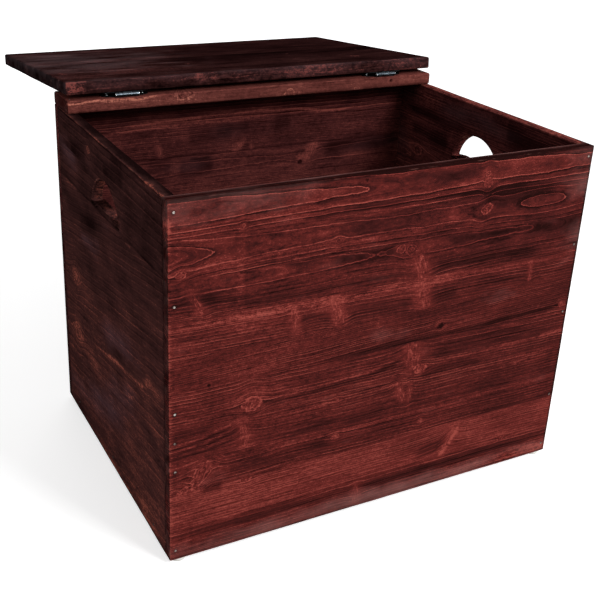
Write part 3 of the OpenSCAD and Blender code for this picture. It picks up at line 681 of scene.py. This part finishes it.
HAND_ARCH, HAND_FLAT, HAND_CORNER = 60.0, 13.0, 4.0    # mm: radius, flat edge above the arch's centre, corners
HAND_CENTRE = (-163.613, 395.0)                        # mm, the arch's centre along y and up
HAND_EASE = 1.8            # mm, radius of the hole's rim
RAYS_UP, RAY_LENGTH, HALVINGS = 16, 90.0, 40           # rays start this far above the flat edge; halved so often
FACE_GAP = 0.7             # mm beyond the widened outline that a face's quads are left out


def to_hand_hole(y, z):
    """How far places on a side wall are outside the outline of the hand hole, and the unit direction out of it.
    The outline is a smaller half-round with sharp corners, grown by the corner radius: the place's
    nearest point of that one is on its flat edge, on its arch or at a corner, and its distance there counts."""
    y, z = y - HAND_CENTRE[0], z - HAND_CENTRE[1]
    flat, arch = HAND_FLAT + HAND_CORNER, HAND_ARCH - HAND_CORNER
    corner = np.sqrt(arch ** 2 - flat ** 2)
    far = np.maximum(np.hypot(y, z), 1e-9)
    on_arch = z * corner >= np.abs(y) * flat
    near_y = np.where(on_arch, y * arch / far, np.clip(y, -corner, corner))
    near_z = np.where(on_arch, z * arch / far, flat)
    inside = (z > flat) & (far < arch)
    dy, dz = y - near_y, z - near_z
    gap = np.maximum(np.hypot(dy, dz), 1e-9)
    return np.where(inside, -1.0, gap) - HAND_CORNER, np.stack([dy / gap, dz / gap], -1)


def hand_hole(places, quads, normals, reach):
    """The skin of a side wall with its hand hole. The quads over the hole are left out of both faces, and the
    ragged edge that is left is carried to the widened outline, round over its edge, through the wall and
    round again onto the other face, along rays from one middle point."""
    out_y, out_z = places[:, 1], places[:, 2]
    low, high = places[:, 0].min(), places[:, 0].max()
    middle = np.array([HAND_CENTRE[0], HAND_CENTRE[1] + HAND_FLAT + RAYS_UP])
    wide = to_hand_hole(out_y, out_z)[0] < HAND_EASE + FACE_GAP
    on_face = np.abs(places[:, 0] - low) < 1e-6, np.abs(places[:, 0] - high) < 1e-6
    loops, keep = [], np.ones(len(quads), bool)
    for face in on_face:
        drop = face[quads].all(1) & wide[quads].any(1)
        keep &= ~drop
        rest = face[quads].all(1) & ~drop
        loop = np.intersect1d(quads[drop], quads[rest])
        turn = np.arctan2(out_z[loop] - middle[1], out_y[loop] - middle[0])
        loops.append(loop[turn.argsort()])
    ray = places[loops[0]][:, 1:] - middle
    ray /= np.linalg.norm(ray, axis=1, keepdims=True)
    angle = np.radians(np.linspace(0, 90, 5))
    widen = HAND_EASE * (1 - np.sin(angle))
    deep = HAND_EASE * (1 - np.cos(angle))
    steps = np.linspace(low + HAND_EASE, high - HAND_EASE, 6)[1:-1]
    across = np.concatenate([low + deep, steps, high - deep[::-1]])
    offset = np.concatenate([widen, np.zeros(4), widen[::-1]])
    lean = np.concatenate([-np.cos(angle), np.zeros(4), np.cos(angle[::-1])])
    start, end = np.zeros((len(across), len(ray))), np.full((len(across), len(ray)), RAY_LENGTH)
    for _ in range(HALVINGS):
        half = (start + end) / 2
        spot_y, spot_z = [middle[i] + half * ray[:, i] for i in (0, 1)]
        beyond = to_hand_hole(spot_y, spot_z)[0] > offset[:, None]
        start, end = np.where(beyond, start, half), np.where(beyond, half, end)
    wall = np.stack([np.repeat(across[:, None], len(ray), 1), spot_y, spot_z], -1)
    outward = to_hand_hole(spot_y, spot_z)[1]
    facing = np.stack([np.repeat(lean[:, None], len(ray), 1),
                       *[-outward[..., i] * np.sqrt(1 - lean[:, None] ** 2) for i in (0, 1)]], -1)
    rows = np.concatenate([loops[0][None], len(places) + np.arange(wall[..., 0].size).reshape(wall.shape[:2]),
                           loops[1][None]])
    face_normal = np.zeros((1, len(ray), 3))
    face_normal[..., 0] = 1
    facing = np.concatenate([-face_normal, facing, face_normal])
    here, there = rows, np.roll(rows, -1, 1)
    strip = np.stack([here[:-1], here[1:], there[1:], there[:-1]], -1).reshape(-1, 4)
    turned = np.roll(facing, -1, 1)
    strip_normals = np.stack([facing[:-1], facing[1:], turned[1:], turned[:-1]], 2).reshape(-1, 4, 3)
    wall_reach = np.abs(np.minimum(across - low, high - across))[:, None] + np.zeros(len(ray))
    reach = np.minimum(reach, np.maximum(to_hand_hole(out_y, out_z)[0], 0))
    return (np.concatenate([places, wall.reshape(-1, 3)]), np.concatenate([quads[keep], strip]),
            np.concatenate([normals[keep], strip_normals]), np.concatenate([reach, wall_reach.ravel()]),
            np.concatenate([np.zeros(keep.sum() + len(ray), bool), np.ones(len(strip) - 2 * len(ray), bool),
                            np.zeros(len(ray), bool)]))


side_wood = stained_wood("stained_side", [(24, 11, 11), (48, 27, 26), (67, 38, 36), (92, 49, 43), (150, 80, 66)],
                         (57, 36, 53), (130, 86, 74), 0.36, 0.8)
left_staves = [
    (51, 80, [(0, 20), (440, 20)], 0, 20, -0.04, [(150, 26, 7, 6, 0, 0, 0)]),
    (51, 150, [(0, 20), (440, 20)], -3, 30, 0.09, []),
    (398, 560, [(0, 30), (440, 30)], -9.5, 66, 0.03,
     [(58, 150, 17, 13, -0.1, 0, 0), (55, 246, 19, 13, -0.1, 0, 0), (376, 169, 8, 6, -0.5, 0, 0),
      (316, 225, 4, 3, -0.5, 0, 0.2), (349, 187, 3.5, 3, 0, 0, 0)]),
]
# Hazes: film on the varnish with a painted sheen of reflected light, as on the front wall.
left_film_sheens = [
    (24, 0.5, [(120, 305), (250, 270), (380, 240)]), (24, 0.5, [(170, 370), (380, 320)]),
    (30, 0.7, [(40, 440), (330, 380)]), (12, 0.4, [(60, 176), (220, 156)]), (20, 0.35, [(-40, 62), (130, 50)]),
    (20, 0.4, [(-60, 470), (120, 440)])
]
left_strokes = [
    # The third stroke on the next line is painted shade: it darkens the top face of the wall against the light that
    # falls on it from above.
    (140, -0.27, [(-200, 105), (700, 105)]), (40, 0.1, [(60, 486), (700, 480)]), (3, -0.5, [(-60, 0), (500, 0)], 300),
    (1.2, 1.3, [(-60, 0), (600, 0)], 3), (3, 0.8, [(370, 0), (500, 0)], 8),
    (16, -0.16, [(20, 150), (110, 134), (240, 112)]), (13, -0.16, [(190, 310), (300, 280), (380, 262)]),
    (2.2, 0.5, [(150, 328), (205, 315), (270, 302), (345, 291), (380, 278)]), (4, 0.3, [(205, 315), (262, 302)]),
    (1.8, 0.34, [(230, 352), (290, 338), (320, 326)]), (8, 0.26, [(38, 253), (76, 250)]),
    (8, 0.26, [(34, 350), (76, 347)]), (4, 0.3, [(362, 276), (388, 268)]), (2, -0.2, [(0, 101), (434, 100)]),
    (2.2, 0.3, [(20, 105), (90, 105)]), (14, -0.2, [(60, 42), (140, 38)]), (12, -0.24, [(210, 34), (300, 26)]),
    (16, -0.1, [(90, 150), (170, 135)]), (6, 0.14, [(70, 498), (310, 498)]), (22, 0.04, [(330, 480), (434, 440)]),
    (16, -0.22, [(30, 490), (110, 478), (200, 466)]), (1.5, 0.45, [(298, 106), (322, 106)])
]
left_wall = wood_piece("left_wall", solid_box("left_side"),
                       ((1, 2, 0), (-1, -1, 1), WALL_EASE, 1, 3, left_staves, left_film_sheens, left_strokes),
                       side_wood, head_places("floor_nails", 0, -1), hand_hole)
right_staves = [(50, 105, [(0, 20), (434, 20)], 0.4, 9, -0.1, []), (52, -60, [(0, 20), (434, 20)], 0.2, 9, -0.1, []),
                (49, 24, [(0, 19), (150, 26), (434, 20)], 0, 8, -0.04, [(62, 12, 13, 9, 0, 0, 0.1)])
                ] + sawn_staves([50, 51, 48, 50, 50, 50, 50], 33)
# Hazes: film on the varnish with a painted sheen of reflected light, as on the front wall.
right_film_sheens = [
    (15, 1.1, [(60, 26), (200, 22), (350, 28)]), (16, 0.9, [(-10, 16), (70, 14)]), (30, 1.1, [(-40, 95), (50, 125)])
]
right_strokes = [
    # The second and third strokes on the next line are painted shade, darkening the wall towards its back corner.
    (2.1, 0.6, [(-60, 0), (520, 0)], 300), (11, -0.6, [(35, 76), (150, 79)]), (9, -0.35, [(20, 46), (190, 44)]),
    (15, -0.55, [(280, 24), (400, 34)]), (12, 0.2, [(30, 14), (120, 20)]), (26, 0.2, [(-40, 110), (52, 118)])
]
right_wall = wood_piece("right_wall", solid_box("right_side"),
                        ((1, 2, 0), (-1, -1, 1), WALL_EASE, 1, 4, right_staves, right_film_sheens, right_strokes),
                        inside_wood, head_places("floor_nails", 0, 1), hand_hole)
for wall, node in ((left_wall, "left_side"), (right_wall, "right_side")):
    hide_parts(node)
    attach(wall, "carcass")

# Bottom board. Nine staves of the same wood, glued into one board. It is let in between the four walls, a little
# above their lower edges, and held by nails through the side walls.

BOTTOM_EASE = 0.5          # mm, radius of the board's edges, which are hardly worn
bottom_board = wood_piece("bottom_board", solid_box("bottom_panel"),
                          ((0, 1, 2), (1, 1, -1), BOTTOM_EASE, None, 5, sawn_staves([48] * 9, 45), [], []),
                          inside_wood)
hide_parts("bottom_panel")
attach(bottom_board, "carcass")

# Rail. A thicker strip of the same wood across the back, nailed down onto the walls. Its rounded front edge shows
# half knots and the hinges stand on its top.

BOARD_EASE = 3.0           # mm, radius of the edges of rail and lid
rail_wood = stained_wood("stained_rail", [(44, 16, 14), (84, 42, 38), (110, 58, 52), (128, 71, 63), (188, 114, 96)],
                         (92, 60, 62), (176, 108, 92), 0.2, 0.3)
rail_staves = [(19, -70, [(0, 14), (632, 18)], 0.3, 11, 0.0,
                [(180, 0, 17, 12, 0, 0, 0.26), (365, 19, 16, 12, 0, 0, 0.1), (552, 7, 4, 3, 0, 0, 1),
                 (486, 16, 6, 4, 0, 0, 0)])]
rail_strokes = [
    (1.4, 1.0, [(-60, 3), (20, 4), (45, 2), (60, 4.5), (85, 3), (110, 4), (134, 2), (150, 1)]),
    (14, 0.16, [(-90, 8), (230, 8)]), (8, 0.2, [(560, 8), (700, 8)]), (5, -0.2, [(430, 17), (640, 17)])
]
rail_board = wood_piece("rail_board", solid_box("hinge_rail"),
                        ((0, 2, 1), (1, -1, 1), BOARD_EASE, None, 6, rail_staves, [], rail_strokes),
                        rail_wood, head_places("rail_nails", 2, 1))
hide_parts("hinge_rail")
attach(rail_board, "carcass")

# Lid. One edge-glued board as thick as the rail, folded right back over it, so that its darker underside faces up.
# It is worked out lying closed on the box, then turned about the hinge pins.

LID_TURN = 184.963         # degrees from closed to folded back
lid_joint = frame["joints"][0]
LID_AXIS = np.array([0, lid_joint["pos_m"][1] * 1000, lid_joint["pos_m"][2] * 1000])
LID_LOW, LID_HIGH = np.array([-316, -398.613, 505.3]), np.array([316, -4.113, 524.3])     # mm, lid closed
turn_back = np.array(Matrix.Rotation(-np.radians(LID_TURN), 4, "X"))
turn_back[:3, 3] = LID_AXIS - turn_back[:3, :3] @ LID_AXIS
lid_wood = stained_wood("stained_lid", [(16, 6, 6), (34, 15, 15), (49, 26, 25), (70, 38, 37), (128, 66, 60)],
                        (74, 55, 60), (126, 80, 76), 0.35, 0.95)
lid_staves = (sawn_staves([49, 50, 49, 48, 50, 49, 50], 58, 0.004)
              + [(49.5, 130, [(0, 20), (632, 20)], 0.2, 9, 0.0, [])])
# Hazes: film on the varnish with a painted sheen of reflected light, as on the front wall.
lid_film_sheens = [
    (150, 0.6, [(-300, 170), (330, 170)]), (40, 0.12, [(240, 40), (560, 60)]),
    (7, 0.6, [(-600, 394.5), (1300, 394.5)], 14)
]
lid_strokes = [
    (30, -0.12, [(-300, 20), (900, 20)]), (12, -0.2, [(0, 150), (632, 152)]), (14, -0.06, [(200, 240), (632, 243)]),
    (45, 0.12, [(-300, 330), (280, 330)]), (130, -0.07, [(400, 250), (1200, 250)]),
    (170, -0.24, [(140, 190), (1200, 190)]), (12, 0.1, [(-600, 394.5), (1300, 394.5)], 300),
    (2, 0.8, [(434, 243), (444, 232)]), (1.6, 0.6, [(244, 136), (249, 126)]), (1.6, 0.6, [(541, 230), (548, 220)]),
    (3, 0.2, [(-60, 394.5), (700, 394.5)], 10), (3, 0.14, [(200, 394.5), (900, 394.5)], 300),
    (4, 0.46, [(-60, 394.5), (36, 394.5)], 300), (5, 0.22, [(196, 394.5), (246, 394.5)], 300),
    (60, 0.14, [(-300, 200), (260, 220)])
]
lid_board = wood_piece("lid_board", [LID_LOW, LID_HIGH],
                       ((0, 1, 2), (1, 1, 1), BOARD_EASE, None, 7, lid_staves, lid_film_sheens, lid_strokes), lid_wood,
                       turn=turn_back)
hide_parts("lid_panel")
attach(lid_board, "lid")

# Hinges. Two small butterfly hinges pressed from zinc-plated sheet steel, with rolled knuckles on a plain pin,
# and the eight round-head screws that hold them. The plating is dulled, and the leaves are darker than the barrels.

BARREL_RADIUS = 0.0036     # m


def metal_wear():
    """Node group of the marks on used metal. Cloud is the dull patches, Fine of them to the metre, with pits in
    them, Scratch the fine scratches along x, and Height both as relief. Start moves the pattern along."""
    tree, given = shader_group("metal_wear", ("Place",), ("Fine", "Start"), ("Cloud", "Scratch", "Height"))
    x, y, z = parts_of(tree, given["Place"])
    fine, start = Tone(tree, given["Fine"]), Tone(tree, given["Start"])
    cloud = fleck((x * fine + start, y * fine, z * fine), 3, 0.6)
    scratch = fleck((x * 400 + start, y * 3200, z * 3200), 2, 0.6)
    pit = fleck((x * 2400, y * 2400 + start, z * 2400), 2)
    put_out(tree, Cloud=2.2 * cloud + 0.5 * pit, Scratch=scratch, Height=scratch + 0.7 * pit)
    return tree


metal_group = metal_wear()


def worn_metal(name, base, dull, rough, start, axis=None, fine=260, spread=0.45):
    """Plated or bare steel, whose bright base is dull and rougher over about a share of spread. All that lies
    further from a hinge's axis than its barrel is darker and rougher."""
    material, tree, shader = new_material(name)
    shader.inputs["Metallic"].default_value = 1.0
    wear = placed(tree, metal_group, Fine=fine, Start=start)
    tree.links.new(own_place(tree), wear.inputs["Place"])
    cloud, scratch, height = [Tone(tree, socket) for socket in wear.outputs]
    worn = cloud + spread
    if axis is not None:
        _, y, z = parts_of(tree, own_place(tree))
        out_y, out_z = y - float(axis[1]), z - float(axis[2])
        worn = worn + 0.75 * (out_y * out_y + out_z * out_z).rise(BARREL_RADIUS ** 2, (BARREL_RADIUS + 0.0005) ** 2)
    worn = worn.held()
    between = [(a + b) / 2 for a, b in zip(base, dull)]
    tree.links.new(shaded(worn, [(0.0, base), (0.6, between), (1.0, dull)]), shader.inputs["Base Color"])
    tree.links.new((rough + 0.25 * worn + 0.2 * scratch).held().socket, shader.inputs["Roughness"])
    relief(shader, height, 0.35, 0.00015)
    return material


def dress(material, *nodes):
    """Solids that keep their own shape get a material."""
    for node in nodes:
        frame["nodes"][node].material_slots[0].material = material


darkened_zinc = worn_metal("darkened_zinc", (92, 102, 110), (26, 26, 28), 0.2, 3.0, lid_joint["pos_m"])
screw_zinc = worn_metal("screw_zinc", (222, 226, 230), (80, 76, 76), 0.26, 5.0, spread=0.15)
dress(darkened_zinc, "left_rail_leaf", "left_lid_leaf", "right_rail_leaf", "right_lid_leaf")
dress(screw_zinc, "left_hinge_pin", "right_hinge_pin", "rail_screws", "lid_screws")

# Nails. Bare wire nails, driven flush with the wood. Their heads have been polished by wear and partly covered
# with stain, most of all those low on the side walls that hold the bottom board.

nail_metal = worn_metal("nail_wire", (210, 204, 196), (60, 40, 36), 0.3, 11.0, fine=420, spread=0.72)
nail_stained = worn_metal("nail_stained", (120, 96, 90), (30, 18, 16), 0.45, 13.0, fine=420, spread=0.9)
dress(nail_metal, "front_nails", "back_nails", "rail_nails", "glide_nails")
dress(nail_stained, "floor_nails")

# Glides. White plastic discs under the four corners, each held by one nail through its middle. They are scuffed
# where they slide, and darker towards the bottom.

glide_plastic, tree, shader = new_material("glide_plastic")
x, y, z = parts_of(tree, own_place(tree))
scuff = fleck((x * 500, y * 90, z * 500), 4, 0.65)
low_darkening = (z.rise(0.0022, 0.0) * (0.3 + 1.6 * scuff)).held()
tree.links.new(shaded(low_darkening, [(0.0, (226, 225, 220)), (1.0, (138, 130, 118))]), shader.inputs["Base Color"])
tree.links.new((0.42 + 0.5 * scuff + 0.2 * low_darkening).held().socket, shader.inputs["Roughness"])
relief(shader, scuff, 0.3, 0.0002)
dress(glide_plastic, "glides")

# Floor, lamps and camera. A pale studio floor and a white room, one soft lamp from the front right and weak
# ones from the left and the back.


def background_rays(tree):
    """1 where the camera sees a surface, itself or by a reflection or through glass, and 0 for other light."""
    path = tree.nodes.new("ShaderNodeLightPath")
    seen, mirrored, through = [Tone(tree, path.outputs[label])
                               for label in ("Is Camera Ray", "Is Glossy Ray", "Is Transmission Ray")]
    return seen.most(mirrored).most(through)


white_room = bpy.data.worlds.new("white_room")
bpy.context.scene.world = white_room
white_room.use_nodes = True
room = white_room.node_tree.nodes["Background"]
room.inputs["Color"].default_value = (1, 1, 1, 1)
white_room.node_tree.links.new((0.36 + 0.64 * background_rays(white_room.node_tree)).socket,
                               room.inputs["Strength"])

# The floor is a pale grey in its own light near the box, and runs out to plain white further off
floor_paint, tree, shader = new_material("studio_floor")
shader.inputs["Base Color"].default_value = (0.86, 0.86, 0.86, 1)
shader.inputs["Roughness"].default_value = 0.9
shader.inputs["Specular IOR Level"].default_value = 0.0
shader.inputs["Emission Color"].default_value = (1, 1, 1, 1)
x, y, _ = parts_of(tree, own_place(tree))
far = (x * x + y * y).root()
tree.links.new((background_rays(tree) * far.rise(1.2, 4.0, 0.56, 1.0)).socket, shader.inputs["Emission Strength"])
floor_mesh = bpy.data.meshes.new("studio_floor")
floor_mesh.from_pydata([(-60, -60, 0), (60, -60, 0), (60, 60, 0), (-60, 60, 0)], [], [(0, 1, 2, 3)])
floor_mesh.materials.append(floor_paint)
studio_floor = in_scene("studio_floor", floor_mesh)


def standing(right, up, back, place):
    """How a lamp or camera stands, from its directions to the right, up and back, and its place in metres."""
    return Matrix([[right[i], up[i], back[i], place[i]] for i in range(3)] + [[0, 0, 0, 1]])


def lamp(name, azimuth, elevation, distance, width, watts):
    """Square soft lamp that looks at the middle of the box from an azimuth (0 is the front, 90 the right)."""
    light = bpy.data.lights.new(name, "AREA")
    light.size, light.energy = width, watts
    a, e = np.radians([azimuth, elevation])
    out = np.array([np.sin(a) * np.cos(e), -np.cos(a) * np.cos(e), np.sin(e)])
    right = np.array([np.cos(a), np.sin(a), 0])
    box_middle = np.array([0, -0.1, 0.27])
    in_scene(name, light).matrix_world = standing(right, np.cross(out, right), out, box_middle + distance * out)


lamp("key_lamp", 25, 36, 3.2, 1.1, 72)
lamp("fill_lamp", -75, 30, 3.2, 2.0, 16)
lamp("back_lamp", 165, 32, 3.2, 2.0, 22)

# The camera stands at the front left and looks down on the box, a little askew; place in metres, angles in degrees
CAMERA_PLACE = (-0.6807, -1.3505, 0.8690)
AZIMUTH, ELEVATION, ROLL = np.radians([-27.84, 22.96, 2.22])
camera = bpy.data.cameras.new("photo_camera")
camera.lens, camera.sensor_width = 58.31, 36
camera.shift_x, camera.shift_y = 0.0403, -0.0673
viewer = in_scene("photo_camera", camera)
ahead = np.array([-np.sin(AZIMUTH) * np.cos(ELEVATION), np.cos(AZIMUTH) * np.cos(ELEVATION), -np.sin(ELEVATION)])
level = np.cross(ahead, [0, 0, 1])
level /= np.linalg.norm(level)
rise = np.cross(level, ahead)
right = np.cos(ROLL) * level + np.sin(ROLL) * rise
up = np.cos(ROLL) * rise - np.sin(ROLL) * level
viewer.matrix_world = standing(right, up, -ahead, CAMERA_PLACE)
bpy.context.scene.camera = viewer
bpy.context.scene.view_settings.view_transform = "Standard"
